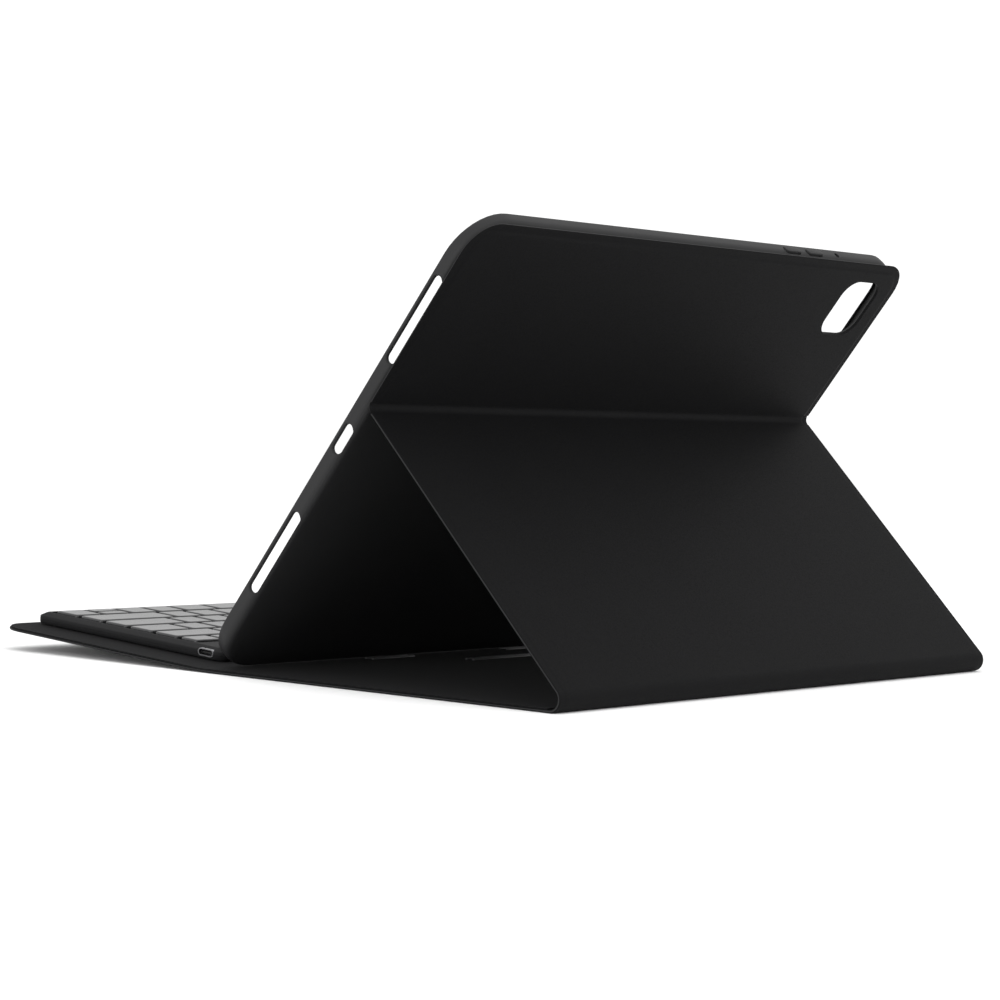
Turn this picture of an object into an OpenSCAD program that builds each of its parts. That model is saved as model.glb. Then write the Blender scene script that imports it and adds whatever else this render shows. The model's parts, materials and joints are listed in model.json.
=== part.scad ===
// Folding keyboard case for a thin 13-inch tablet, standing open for typing.
// +X is the user's right, -Y faces the user, +Z is up. The origin is the middle of the footprint on the desk.

/* [Cover sheet] */
// Width of the cover sheet, left to right
sheet_w = 287; // [286:0.5:294]
// Depth of the footprint, from the front edge to the rear bend
foot_depth = 311; // [304:1:320]
// Radius of the outer face at the rear bend
bend_r = 5; // [4:0.5:7]
// Length of the stand panel between its two bends
stand_len = 135.8; // [134:0.1:138]
// Angle between the stand panel and the desk
stand_angle = 45.9; // [44:0.1:48]
// Thickness of the outer skin
skin_t = 0.6; // [0.5:0.1:0.9]
// Thickness of the stiffener boards in the base and behind the tray
board_t = 0.7; // [0.6:0.1:1.1]
// Thickness of the stiffener board in the stand panel
stand_board_t = 0.5; // [0.4:0.1:0.7]
// Thickness of the microfibre lining on the base
lining_t = 0.4; // [0.3:0.1:0.6]
// Thickness of the microfibre lining on the stand panel
stand_lining_t = 0.3; // [0.2:0.1:0.4]
// Thickness of the adhesive sheet between the upper panel and the tray
bond_t = 0.4; // [0.3:0.1:0.5]
// Width of the pressed border round each board
rim_w = 3.6; // [2.5:0.1:5]
// Corner radius of the sheet
sheet_r = 14; // [6:1:18]
// Width of the spine board
spine_w = 17; // [14:1:20]
// Upward slope of the front leaf that carries the keyboard
leaf_slope = 4; // [0:0.1:5]

/* [Tablet tray] */
// Outer width of the tray
tray_w = 283.6; // [283:0.2:285]
// Outer height of the tray, from its foot to its top edge
tray_h = 220.3; // [219.5:0.1:222]
// Outer thickness of the tray
tray_d = 7; // [6.5:0.1:8]
// Outer corner radius of the tray
tray_r = 20; // [14:1:22]
// Thickness of the side and top walls
wall = 1.4; // [1.2:0.1:1.8]
// Thickness of the tray's back
tray_back = 0.6; // [0.5:0.1:1]
// Thickness of the lip over the screen's border
lip_t = 0.5; // [0.5:0.1:0.8]
// Width of the lip over the screen's border
lip_w = 1.6; // [1:0.1:2.5]
// Thickness of the solid foot under the tablet
foot_t = 3.8; // [3:0.1:4.5]
// Distance from the tray's top edge down to the fold line
fold_drop = 86; // [82:0.5:90]
// Distance from the tray's top edge to the middle of the charging slot
port_drop = 104.7; // [103:0.1:110]
// Distance between the middles of the charging slot and a speaker slot
speaker_step = 56.8; // [54:0.1:62]
// Length of a speaker slot
speaker_len = 40; // [34:1:46]
// Length of the charging slot
port_len = 13.5; // [12:0.5:16]
// Width of the side slots
slot_w = 4.4; // [3.8:0.1:4.6]
// Width of the camera cut-out
camera_w = 26; // [24:0.5:30]
// Height of the camera cut-out
camera_h = 28.5; // [24:0.5:31]
// Distance of the camera cut-out's middle from the sheet's side edge
camera_in = 25; // [22:0.5:30]
// Distance of the camera cut-out's middle from the sheet's top edge
camera_down = 23.5; // [20:0.5:28]

/* [Keyboard] */
// Width of the keyboard
kb_w = 250; // [246:1:256]
// Depth of the keyboard
kb_d = 115.5; // [114:0.5:117]
// Distance from the front leaf's crease to the keyboard's rear edge
kb_rear = 7.2; // [7:0.1:9]
// Distance from the keyboard's rear edge to the function row
rear_bar = 19; // [17:0.5:20]
// Corner radius of the keyboard
kb_r = 5; // [3:0.5:6]
// Key pitch from side to side
key_pitch = 16; // [15.8:0.1:16]
// Row pitch of the full rows
row_pitch = 15.7; // [15.5:0.1:15.9]
// Row pitch of the function row
top_pitch = 12; // [11.5:0.1:12.2]
// Gap between two keycaps
key_gap = 2; // [1.8:0.1:2.4]

/* [Hidden] */
$fn = 64;
cut = 1;          // how far a cutting shape runs past the face it cuts
fit = 0.15;       // side clearance of a part in its pocket
rest_gap = 0.35;  // air between the tray's foot and the base lining
crease = 4;       // bare leather between two boards

// Sheet thicknesses
base_t = skin_t + board_t + lining_t;
stack_t = skin_t + board_t + bond_t;
stand_t = skin_t + stand_board_t + stand_lining_t;

// The rear bend's axis, and the fold line where the stand panel meets the tray's back
hinge_y = foot_depth / 2 - bend_r;
hinge_z = bend_r;
fold_y = hinge_y + bend_r * sin(stand_angle) - stand_len * cos(stand_angle);
fold_z = hinge_z + bend_r * cos(stand_angle) + stand_len * sin(stand_angle);
hinge_gap = 0.6;  // panel edge to hinge axis plane, so that the open panels never touch

// The tray leans so that the chamfered edge of its foot stands just clear of the lining
tray_low = tray_h - fold_drop;
edge_c = 1.4;     // chamfer round the tray's back edge
foot_lift = stack_t + edge_c;
lean_reach = sqrt(tray_low * tray_low + foot_lift * foot_lift);
tilt = atan(foot_lift / tray_low) + asin((fold_z - base_t - rest_gap) / lean_reach);

// Tray cavity
cavity_d = tray_d - tray_back - lip_t;
cavity_w = tray_w - 2 * wall;
cavity_h = tray_h - wall - foot_t;
cavity_z = stack_t + tray_back;
slot_z = cavity_z + cavity_d / 2 - 0.5;

// Base: the crease where the front leaf starts to rise, and the rear edge
leaf_y = -30;
base_rear_y = hinge_y - hinge_gap;

// Keyboard levels above the leaf's underside
feet_z = base_t;
bottom_z = feet_z + 0.4;
seam_z = bottom_z + 1.9;
deck_low_z = seam_z + 1.1;
deck_z = deck_low_z + 0.8;
rim_z = deck_z + 1.2;
key_z = deck_z + 0.1;
key_h = 1.8;
well_w = 15 * key_pitch + 1.4;
well_d = top_pitch + 5 * row_pitch + 1.4;
rows_rear = kb_rear + rear_bar + 0.7;
well_y = -(rows_rear - 0.7 + well_d / 2);
kb_mid_y = -(kb_rear + kb_d / 2);
socket_y = -(kb_rear + 8.7);
switch_y = -(kb_rear + 26);
switch_travel = 3;

// Widths of the keys in each row, in key pitches, from the user's left to the right
KEY_ROWS = [
  [for (i = [1:15]) 1],
  concat([for (i = [1:13]) 1], [2]),
  concat([1.5], [for (i = [1:12]) 1], [1.5]),
  concat([1.75], [for (i = [1:11]) 1], [2.25]),
  concat([2.25], [for (i = [1:10]) 1], [2.75]),
  [1, 1, 1, 1.25, 5.5, 1.25, 1, 1, 1, 1]
];
ARROWS = 7;       // first arrow key in the front row

function width_before(row, i) = i <= 0 ? 0 : KEY_ROWS[row][i - 1] + width_before(row, i - 1);
function key_x(row, i) = (width_before(row, i) + KEY_ROWS[row][i] / 2 - 7.5) * key_pitch;
function key_w(row, i) = KEY_ROWS[row][i] * key_pitch - key_gap;
function row_depth(row) = row == 0 ? top_pitch : row_pitch;
function key_y(row) = -rows_rear - (row == 0 ? top_pitch / 2 : top_pitch + (row - 0.5) * row_pitch);

// ---- frames of the moving panels ----

module on_stand() {
  translate([0, hinge_y, hinge_z]) rotate([180 - stand_angle, 0, 0]) children();
}

module on_tray() {
  translate([0, fold_y, fold_z]) rotate([tilt, 0, 0]) children();
}

module on_leaf() {
  translate([0, leaf_y, 0]) rotate([-leaf_slope, 0, 0]) children();
}

// ---- shared outlines ----

// Rectangle centred on the origin with four round corners
module round_rect(w, h, r) {
  square([w - 2 * r, h], center = true);
  square([w, h - 2 * r], center = true);
  for (x = [-1, 1], y = [-1, 1]) translate([x * (w / 2 - r), y * (h / 2 - r)]) circle(r);
}

// Rectangle from y = 0 to y = len, with its two far corners round
module end_round(w, len, r) {
  translate([-w / 2, 0]) square([w, len - r]);
  translate([-w / 2 + r, 0]) square([w - 2 * r, len]);
  for (x = [-1, 1]) translate([x * (w / 2 - r), len - r]) circle(r);
}

// Slot outline with round ends, its length along x
module stadium(len, w) {
  square([len - w, w], center = true);
  for (x = [-1, 1]) translate([x * (len - w) / 2, 0]) circle(w / 2);
}

// Extrudes an outline drawn in (y, z) along +X
module along_x(len) {
  rotate([90, 0, 90]) linear_extrude(len) children();
}

// ---- the panel behind the tray's upper half ----

module camera_outline(grow) {
  translate([-(sheet_w / 2 - camera_in), fold_drop - camera_down])
    round_rect(camera_w + 2 * grow, camera_h + 2 * grow, 8 + grow);
}

module upper_outline(inset) {
  difference() {
    translate([0, 1.2 + inset])
      end_round(sheet_w - 2 * inset, fold_drop - 1.2 - 2 * inset, sheet_r - inset);
    camera_outline(inset > 0 ? 1.6 : 0);
  }
}

module upper_skin() {
  color([0.07, 0.07, 0.075]) on_tray() difference() {
    linear_extrude(skin_t + board_t) upper_outline(0);
    translate([0, 0, skin_t]) linear_extrude(board_t + cut) upper_outline(rim_w);
  }
}

module upper_board() {
  color([0.55, 0.5, 0.42]) on_tray() translate([0, 0, skin_t]) linear_extrude(board_t)
    difference() {
      upper_outline(rim_w + fit);
      camera_outline(1.6 + fit);
    }
}

module bond_layer() {
  color([0.3, 0.3, 0.3]) on_tray() translate([0, 0, skin_t + board_t]) linear_extrude(bond_t)
    difference() {
      translate([0, 4]) end_round(tray_w - 8, fold_drop - 8, tray_r - 4);
      camera_outline(0.4);
    }
}

// ---- tablet tray ----

module tray_outline(inset) {
  translate([0, fold_drop - tray_h / 2])
    round_rect(tray_w - 2 * inset, tray_h - 2 * inset, tray_r - inset);
}

module cavity_outline(inset) {
  translate([0, fold_drop - wall - cavity_h / 2])
    round_rect(cavity_w - 2 * inset, cavity_h - 2 * inset, tray_r - wall - inset);
}

module side_slot(side, drop, len) {
  translate([side * (tray_w / 2 - wall / 2) - 2, fold_drop - drop, slot_z])
    along_x(4) stadium(len, slot_w);
}

BUTTON_XS = [-58, -74];   // volume buttons, along the tray's top edge
mic_x = -91;              // microphone hole, beside them
side_button_drop = 30;    // button on the tray's left wall, below the top edge

// Button pad outline, in the plane of the wall it sits in
module pad(grow) {
  stadium(11 + 2 * grow, 3 + 2 * grow);
}

module top_pad(x, depth, grow, proud) {
  translate([x, fold_drop + proud, slot_z]) rotate([90, 0, 0]) linear_extrude(depth) pad(grow);
}

module side_pad(depth, grow, proud) {
  translate([-(tray_w / 2 + proud), fold_drop - side_button_drop, slot_z])
    along_x(depth) pad(grow);
}

MAGNET_XS = [-105, -63, -21, 21, 63, 105];
foot_magnet = [30, 2.4, 3.6];

module foot_magnet_blocks(grow) {
  for (x = MAGNET_XS)
    translate([x - foot_magnet[0] / 2 - grow, -tray_low + 1.2, slot_z - foot_magnet[2] / 2 - grow])
      cube([foot_magnet[0] + 2 * grow, foot_magnet[1] + (grow > 0 ? 2 : 0), foot_magnet[2] + 2 * grow]);
}

module tray_shell() {
  color([0.1, 0.1, 0.105]) on_tray() difference() {
    hull() {
      translate([0, 0, stack_t]) linear_extrude(edge_c) tray_outline(edge_c);
      translate([0, 0, stack_t + edge_c]) linear_extrude(tray_d - edge_c) tray_outline(0);
    }
    translate([0, 0, cavity_z]) linear_extrude(cavity_d) cavity_outline(0);
    translate([0, 0, cavity_z]) linear_extrude(tray_d) cavity_outline(lip_w);
    translate([0, 0, stack_t - cut]) linear_extrude(tray_d) camera_outline(0.4);
    for (side = [-1, 1], step = [-1, 1])
      side_slot(side, port_drop + step * speaker_step, speaker_len);
    side_slot(1, port_drop, port_len);
    for (x = BUTTON_XS) top_pad(x, wall + 2 * cut, 0.3, cut);
    side_pad(wall + 2 * cut, 0.3, cut);
    translate([mic_x, fold_drop + cut, slot_z]) rotate([90, 0, 0]) cylinder(r = 1.3, h = wall + 2 * cut);
    foot_magnet_blocks(0.1);
  }
}

module foot_magnets() {
  color([0.7, 0.7, 0.72]) on_tray() foot_magnet_blocks(0);
}

module volume_up_button() {
  color([0.12, 0.12, 0.125]) on_tray() top_pad(BUTTON_XS[1], wall + 0.6, 0, 0.6);
}

module volume_down_button() {
  color([0.12, 0.12, 0.125]) on_tray() top_pad(BUTTON_XS[0], wall + 0.6, 0, 0.6);
}

module side_button() {
  color([0.12, 0.12, 0.125]) on_tray() side_pad(wall + 0.6, 0, 0.6);
}

// ---- fold line and stand panel ----

module fold_strip() {
  color([0.05, 0.05, 0.055]) translate([-sheet_w / 2, fold_y, fold_z]) along_x(sheet_w)
    circle(r = 0.8);
}

module stand_slab(inset, z0, z1) {
  on_stand() translate([-sheet_w / 2 + inset, hinge_gap + inset, z0 - bend_r])
    cube([sheet_w - 2 * inset, stand_len - hinge_gap - 1.2 - 2 * inset, z1 - z0]);
}

module stand_skin() {
  color([0.08, 0.08, 0.085]) difference() {
    stand_slab(0, 0, skin_t + stand_board_t);
    stand_slab(rim_w, skin_t, skin_t + stand_board_t + cut);
  }
}

module stand_board() {
  color([0.55, 0.5, 0.42]) stand_slab(rim_w + fit, skin_t, skin_t + stand_board_t);
}

module stand_lining() {
  color([0.13, 0.13, 0.135]) stand_slab(0.6, skin_t + stand_board_t, stand_t);
}

// ---- rear bend and base ----

// Leather between the base and the stand panel, bent round the hinge axis
module rear_bend_strip() {
  color([0.08, 0.08, 0.085]) translate([-sheet_w / 2, hinge_y, hinge_z]) along_x(sheet_w)
    intersection() {
      difference() {
        circle(r = bend_r);
        circle(r = bend_r - stand_t);
      }
      polygon([[0.2, 0], [0.2, -2 * bend_r], [2 * bend_r, -2 * bend_r], [2 * bend_r, 0],
        [2 * bend_r * cos(86 - stand_angle), 2 * bend_r * sin(86 - stand_angle)]]);
    }
}

// Side profile of one layer of the base, from height z0 to z1, rear edge to front edge
module base_profile(z0, z1, rear, front) {
  lift = tan(leaf_slope);
  polygon([[rear, z0], [leaf_y, z0], [front, z0 + (leaf_y - front) * lift],
    [front, z1 + (leaf_y - front) * lift], [leaf_y, z1], [rear, z1]]);
}

// One layer of the base, cut to the sheet's plan with round front corners
module base_layer(z0, z1, inset) {
  intersection() {
    translate([-sheet_w / 2 + inset, 0, 0]) along_x(sheet_w - 2 * inset)
      base_profile(z0, z1, base_rear_y - inset, -foot_depth / 2 + inset);
    translate([0, base_rear_y, -cut]) mirror([0, 1, 0]) linear_extrude(40)
      end_round(sheet_w - 2 * inset, base_rear_y + foot_depth / 2 - inset, sheet_r - inset);
  }
}

// Plan of the three boards: x width is common, each given by its rear and front edge
BOARD_SPANS = [
  [base_rear_y - rim_w, base_rear_y - rim_w - spine_w],
  [base_rear_y - rim_w - spine_w - crease, leaf_y + crease / 2],
  [leaf_y - crease / 2, -foot_depth / 2 + rim_w]
];

module board_block(i, inset) {
  span = BOARD_SPANS[i];
  intersection() {
    translate([-sheet_w / 2 + rim_w + inset, 0, 0]) along_x(sheet_w - 2 * (rim_w + inset))
      base_profile(skin_t, skin_t + board_t, base_rear_y, -foot_depth / 2);
    translate([0, span[0] - inset, -cut]) mirror([0, 1, 0]) linear_extrude(40)
      end_round(sheet_w - 2 * (rim_w + inset), span[0] - span[1] - 2 * inset,
        i == 2 ? sheet_r - rim_w - inset : 1);
  }
}

module base_skin() {
  color([0.07, 0.07, 0.075]) difference() {
    base_layer(0, skin_t + board_t, 0);
    for (i = [0:2]) board_block(i, 0);
  }
}

module spine_board() {
  color([0.55, 0.5, 0.42]) board_block(0, fit);
}

module base_board_rear() {
  color([0.55, 0.5, 0.42]) difference() {
    board_block(1, fit);
    catch_plate_blocks(fit);
  }
}

module base_board_front() {
  color([0.55, 0.5, 0.42]) difference() {
    board_block(2, fit);
    kb_catch_discs(fit, board_t + 2 * cut, skin_t - cut);
  }
}

module base_lining() {
  color([0.13, 0.13, 0.135]) base_layer(skin_t + board_t, base_t, 0.6);
}

// Low ribs that the tray's foot can stand against: [middle x, middle y, length]
STOP_RIBS = [[-43, -18, 26], [-43, -22, 26], [43, -18, 26], [43, -22, 26], [0, 4, 44], [0, 8, 44]];

module stop_ribs() {
  color([0.2, 0.2, 0.21]) for (r = STOP_RIBS)
    translate([r[0] - r[2] / 2, r[1] - 0.7, base_t]) cube([r[2], 1.4, 0.7]);
}

// Steel plates under the lining, below the tray's foot
module catch_plate_blocks(grow) {
  for (x = MAGNET_XS)
    translate([x - 15 - grow, leaf_y + 3 - grow, skin_t + 0.1 - grow / 2])
      cube([30 + 2 * grow, 8 + 2 * grow, board_t - 0.1 + grow]);
}

module foot_catch_plates() {
  color([0.6, 0.6, 0.62]) catch_plate_blocks(0);
}

KB_MAGNETS = [for (x = [-108, 0, 108], y = [-20, -94]) [x, y - kb_rear + 4]];

module kb_catch_discs(grow, h, z) {
  on_leaf() for (p = KB_MAGNETS) translate([p[0], p[1], z]) cylinder(r = 5 + grow, h = h);
}

module keyboard_catch_plates() {
  color([0.6, 0.6, 0.62]) kb_catch_discs(0, board_t - 0.3, skin_t + 0.1);
}

// ---- keyboard housing ----

module kb_outline(inset) {
  translate([0, kb_mid_y]) round_rect(kb_w - 2 * inset, kb_d - 2 * inset, kb_r - inset);
}

BATTERY = [72, 34, 1.4];
CONTROL = [44, 12, 1.4];
battery_y = -(kb_rear + 60);
control_y = -(kb_rear + 34);
socket_depth = 5.4;
socket_size = [8.9, 3.1];

module socket_outline(grow) {
  stadium(socket_size[0] + 2 * grow, socket_size[1] + 2 * grow);
}

module socket_hole() {
  translate([kb_w / 2 - socket_depth - 0.1, socket_y, seam_z + 0.7]) along_x(socket_depth + cut)
    socket_outline(0.1);
}

module switch_slot() {
  translate([-kb_w / 2 - cut, switch_y, seam_z + 0.6]) along_x(3 + cut)
    stadium(6 + switch_travel + 0.8, 2);
}

module keyboard_bottom_case() {
  color([0.06, 0.06, 0.065]) on_leaf() difference() {
    translate([0, 0, bottom_z]) linear_extrude(seam_z - bottom_z) kb_outline(0);
    translate([-BATTERY[0] / 2 - 40 - fit, battery_y - BATTERY[1] / 2 - fit, seam_z - BATTERY[2] - 0.1])
      cube([BATTERY[0] + 2 * fit, BATTERY[1] + 2 * fit, BATTERY[2] + cut]);
    translate([50 - CONTROL[0] / 2 - fit, control_y - CONTROL[1] / 2 - fit, seam_z - CONTROL[2] - 0.1])
      cube([CONTROL[0] + 2 * fit, CONTROL[1] + 2 * fit, CONTROL[2] + cut]);
    for (p = KB_MAGNETS) translate([p[0], p[1], seam_z - 1.4]) cylinder(r = 5.1, h = 1.4 + cut);
    socket_hole();
    switch_slot();
  }
}

// Frame round the keys: side walls, a raised rim and a wider bar at the rear
module keyboard_top_case() {
  color([0.07, 0.07, 0.075]) on_leaf() difference() {
    translate([0, 0, seam_z]) linear_extrude(rim_z - seam_z) kb_outline(0);
    translate([0, 0, seam_z - cut]) linear_extrude(deck_low_z - seam_z + cut) kb_outline(1.8);
    translate([0, well_y, seam_z - cut]) linear_extrude(rim_z) round_rect(well_w, well_d, 2.5);
    for (x = LIGHT_XS) translate([x, light_y, rim_z - 0.9]) cylinder(r = 0.75, h = 2);
    socket_hole();
    switch_slot();
  }
}

// Plate between the keys, with an opening for each key
module key_plate() {
  color([0.04, 0.04, 0.045]) on_leaf() translate([0, 0, deck_low_z]) linear_extrude(deck_z - deck_low_z)
    difference() {
      translate([0, well_y]) round_rect(well_w - 2 * fit, well_d - 2 * fit, 2.5 - fit);
      for (row = [0:5], i = [0:len(KEY_ROWS[row]) - 1])
        translate([key_x(row, i), key_y(row)])
          square([key_w(row, i) + 0.8, row_depth(row) - key_gap + 0.8], center = true);
    }
}

module keyboard_feet() {
  color([0.03, 0.03, 0.03]) on_leaf() for (x = [-1, 1], y = [-1, 1])
    translate([x * (kb_w / 2 - 12), kb_mid_y + y * (kb_d / 2 - 8), feet_z]) cylinder(r = 4, h = 0.4);
}

module keyboard_magnets() {
  color([0.7, 0.7, 0.72]) on_leaf() for (p = KB_MAGNETS)
    translate([p[0], p[1], seam_z - 1.4]) cylinder(r = 5, h = 1.3);
}

module battery() {
  color([0.75, 0.75, 0.78]) on_leaf()
    translate([-BATTERY[0] / 2 - 40, battery_y - BATTERY[1] / 2, seam_z - BATTERY[2] - 0.1])
      cube(BATTERY);
}

module control_board() {
  color([0.05, 0.25, 0.12]) on_leaf()
    translate([50 - CONTROL[0] / 2, control_y - CONTROL[1] / 2, seam_z - CONTROL[2] - 0.1])
      cube([CONTROL[0], CONTROL[1], 0.8]);
}

module key_membrane() {
  color([0.75, 0.73, 0.6]) on_leaf() translate([0, well_y, seam_z])
    linear_extrude(0.35) square([well_w - 4, well_d - 3], center = true);
}

// One rubber dome under each key, low enough to leave the key its travel
module key_domes() {
  color([0.8, 0.8, 0.82]) on_leaf() for (row = [0:5], i = [0:len(KEY_ROWS[row]) - 1])
    translate([key_x(row, i), key_y(row), seam_z + 0.35]) cylinder(r = 2.4, h = 0.3, $fn = 24);
}

module charging_socket() {
  color([0.75, 0.75, 0.77]) on_leaf()
    translate([kb_w / 2 - socket_depth, socket_y, seam_z + 0.7]) difference() {
      along_x(socket_depth) socket_outline(0);
      translate([0.5, 0, 0]) along_x(socket_depth) socket_outline(-0.4);
    }
}

module power_switch() {
  color([0.3, 0.3, 0.32]) on_leaf()
    translate([-kb_w / 2 - 0.4, switch_y + switch_travel / 2, seam_z + 0.6]) along_x(2.6)
      stadium(6, 1.5);
}

LIGHT_XS = [96, 102, 108];
light_y = -(kb_rear + 2.6);

module indicator_lights() {
  color([0.85, 0.9, 0.95]) on_leaf() for (x = LIGHT_XS)
    translate([x, light_y, rim_z - 0.85]) cylinder(r = 0.65, h = 0.9);
}

// ---- keys ----

// One keycap; half is 0 for a full key, 1 or -1 for the rear or front half of a split key
module keycap(row, i, half = 0) {
  d = row_depth(row) - key_gap;
  cap_d = half == 0 ? d : (d - 1) / 2;
  translate([key_x(row, i), key_y(row) + half * (d - cap_d) / 2, key_z])
    linear_extrude(key_h) round_rect(key_w(row, i), cap_d, 1.6);
}

module keys(row, first, last) {
  color([0.05, 0.05, 0.055]) on_leaf() for (i = [first:last]) keycap(row, i);
}

module function_keys() { keys(0, 0, 14); }
module number_keys() { keys(1, 0, 12); }
module backspace_key() { keys(1, 13, 13); }
module tab_key() { keys(2, 0, 0); }
module upper_letter_keys() { keys(2, 1, 13); }
module caps_key() { keys(3, 0, 0); }
module home_letter_keys() { keys(3, 1, 11); }
module return_key() { keys(3, 12, 12); }
module left_shift_key() { keys(4, 0, 0); }
module lower_letter_keys() { keys(4, 1, 10); }
module right_shift_key() { keys(4, 11, 11); }

module left_modifier_keys() { keys(5, 0, 3); }
module space_bar() { keys(5, 4, 4); }
module right_modifier_keys() { keys(5, 5, 6); }
module left_arrow_key() { keys(5, ARROWS, ARROWS); }
module right_arrow_key() { keys(5, ARROWS + 2, ARROWS + 2); }

module up_arrow_key() {
  color([0.05, 0.05, 0.055]) on_leaf() keycap(5, ARROWS + 1, 1);
}

module down_arrow_key() {
  color([0.05, 0.05, 0.055]) on_leaf() keycap(5, ARROWS + 1, -1);
}

upper_skin();
upper_board();
bond_layer();
tray_shell();
foot_magnets();
volume_up_button();
volume_down_button();
side_button();
fold_strip();
stand_skin();
stand_board();
stand_lining();
rear_bend_strip();
base_skin();
spine_board();
base_board_rear();
base_board_front();
base_lining();
stop_ribs();
foot_catch_plates();
keyboard_catch_plates();
keyboard_bottom_case();
keyboard_top_case();
key_plate();
keyboard_feet();
keyboard_magnets();
battery();
control_board();
key_membrane();
key_domes();
charging_socket();
power_switch();
indicator_lights();
function_keys();
number_keys();
backspace_key();
tab_key();
upper_letter_keys();
caps_key();
home_letter_keys();
return_key();
left_shift_key();
lower_letter_keys();
right_shift_key();
left_modifier_keys();
space_bar();
right_modifier_keys();
left_arrow_key();
up_arrow_key();
down_arrow_key();
right_arrow_key();
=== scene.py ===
"""Looks of a folding tablet keyboard case: leather cover, soft tray, slim keyboard, studio light."""
import json
import math

import bpy
from mathutils import Matrix, Vector


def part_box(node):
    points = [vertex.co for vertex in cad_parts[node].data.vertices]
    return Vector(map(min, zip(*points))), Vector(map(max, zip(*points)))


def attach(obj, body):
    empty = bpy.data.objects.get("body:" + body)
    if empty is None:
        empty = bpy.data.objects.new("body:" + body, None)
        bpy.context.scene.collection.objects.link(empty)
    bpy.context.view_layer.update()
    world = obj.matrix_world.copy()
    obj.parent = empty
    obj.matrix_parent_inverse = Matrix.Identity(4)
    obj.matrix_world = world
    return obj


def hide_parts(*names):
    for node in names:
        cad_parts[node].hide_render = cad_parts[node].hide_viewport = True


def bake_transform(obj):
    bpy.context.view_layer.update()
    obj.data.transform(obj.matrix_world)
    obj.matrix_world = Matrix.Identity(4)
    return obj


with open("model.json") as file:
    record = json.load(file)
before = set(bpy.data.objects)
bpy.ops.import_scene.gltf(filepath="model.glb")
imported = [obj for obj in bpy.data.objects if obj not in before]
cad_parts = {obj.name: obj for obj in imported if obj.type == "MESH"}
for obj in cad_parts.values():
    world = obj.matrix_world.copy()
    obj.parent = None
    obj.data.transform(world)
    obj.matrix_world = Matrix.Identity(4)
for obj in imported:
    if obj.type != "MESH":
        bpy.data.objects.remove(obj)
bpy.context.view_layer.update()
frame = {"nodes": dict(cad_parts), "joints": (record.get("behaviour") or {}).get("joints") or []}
MM = 0.001

# ---- dimensions, in millimetres, as in the design ----

# Cover sheet
PANEL_T = 1.3           # leather and board, base and upper panel
STAND_T = 1.1           # leather and board, stand panel
FOLD_T = 0.6            # leather alone, at the fold
BASE_T = 1.7            # base with its lining
SHEET_R = 14.0          # corner radius
RIM_PRESS = 0.22        # depth of the pressed border
RIM_FROM, RIM_TO = 3.0, 4.4   # where the pressed border ends and the board's edge is reached
INNER_PRESS = 0.4       # share of that depth on the inner face
STAND_PRESS_LOSS, STAND_PRESS_OVER = 0.75, 10.0   # share lost on the stand, and over what length
UPPER_PRESS = 1.6       # times as deep on the upper panel
CURL, CURL_REACH = 0.3, 0.45  # rounding of the cut edge: its depth and its width
MOST_INSET = 0.45       # share of the thickness that border and rounding may take from each face
STAND_THIN_OVER = 12.0  # length over which the base's thickness becomes the stand's
COLUMN_STEP = 8.0       # spacing of the mesh across the sheet's middle
BASE_STEP, PANEL_STEP = 4.0, 6.0   # and along it, on the base and on the panels
BEND_ROWS, FOLD_ROWS = 24, 10
LEAF_Y = -30.0          # crease where the front leaf starts to rise
CREASE_SOFT = 12.0      # half length of the soft bend at that crease
LEAN_PROBE = 0.1        # half the length over which the leaf's slope is measured

# Fold between the stand and the upper panel
FOLD_DROP = 86.0        # tray's top edge to the fold line
FOLD_SOFT = 2.2         # reach of the soft fold, each way
FOLD_LAP, FOLD_UNDER = 1.6, 0.12   # how far its leather laps behind the stand's, and how deep
STAND_END_GAP = 0.2     # from the stand's end to the soft fold
GROOVE_DEEP, GROOVE_W = 0.5, 0.5   # groove at the lower edge of the upper panel
UPPER_THICK_OVER = 0.9  # length over which the fold's thickness becomes the panel's

# Tray
STACK_T = 1.7           # upper panel and its bond, under the tray
TRAY_W, TRAY_H, TRAY_D, TRAY_R = 283.6, 220.3, 7.0, 20.0
WALL, FOOT_T, BACK_T, LIP_T, LIP_W = 1.4, 3.8, 0.6, 0.5, 1.6
BACK_EDGE, FOOT_EDGE, LIP_EDGE = 3.2, 1.8, 0.9   # rounding of the back edge, its part at the foot, the rim
MOUTH_EASE, MOUTH_EASE_D = 0.3, 0.12             # easing of the lip's inner edge, in width and in depth
POCKET_EASE = 0.4       # easing of the pocket's floor edge
FACE_RING = 4.0         # ring of mesh inside each flat face
SLOT_W = 4.4
SLOT_Z = STACK_T + BACK_T + (TRAY_D - BACK_T - LIP_T) / 2 - 0.5
SLOT_MOUTH = ((0, -0.6), (0.5, -0.2), (2, 0.4))  # growth of a slot, at heights from the wall's face
SPEAKER_LEN, PORT_LEN, PORT_DROP, SPEAKER_STEP = 40.0, 13.5, 104.7, 56.8
CUT_PAST = 1.0          # how far cutters reach past a wall
CAMERA_W, CAMERA_H, CAMERA_IN, CAMERA_DOWN, CAMERA_R = 26.0, 28.5, 25.0, 23.5, 8.0
CAMERA_GAP = 0.4        # by which the tray's window is larger on each side than the sheet's
SHEET_CUT, TRAY_CUT = 3.0, 4.0   # how far their cutters reach
PAD_LEN, PAD_W, PAD_OUT, PAD_ROUND, PAD_GAP = 11.0, 3.0, 0.15, 0.45, 0.3
VOLUME_UP_X, VOLUME_DOWN_X, MIC_X, MIC_D = -74.0, -58.0, -91.0, 2.6   # on the top wall
SIDE_PAD_DROP = 30.0    # side pad, from the tray's top edge

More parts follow.
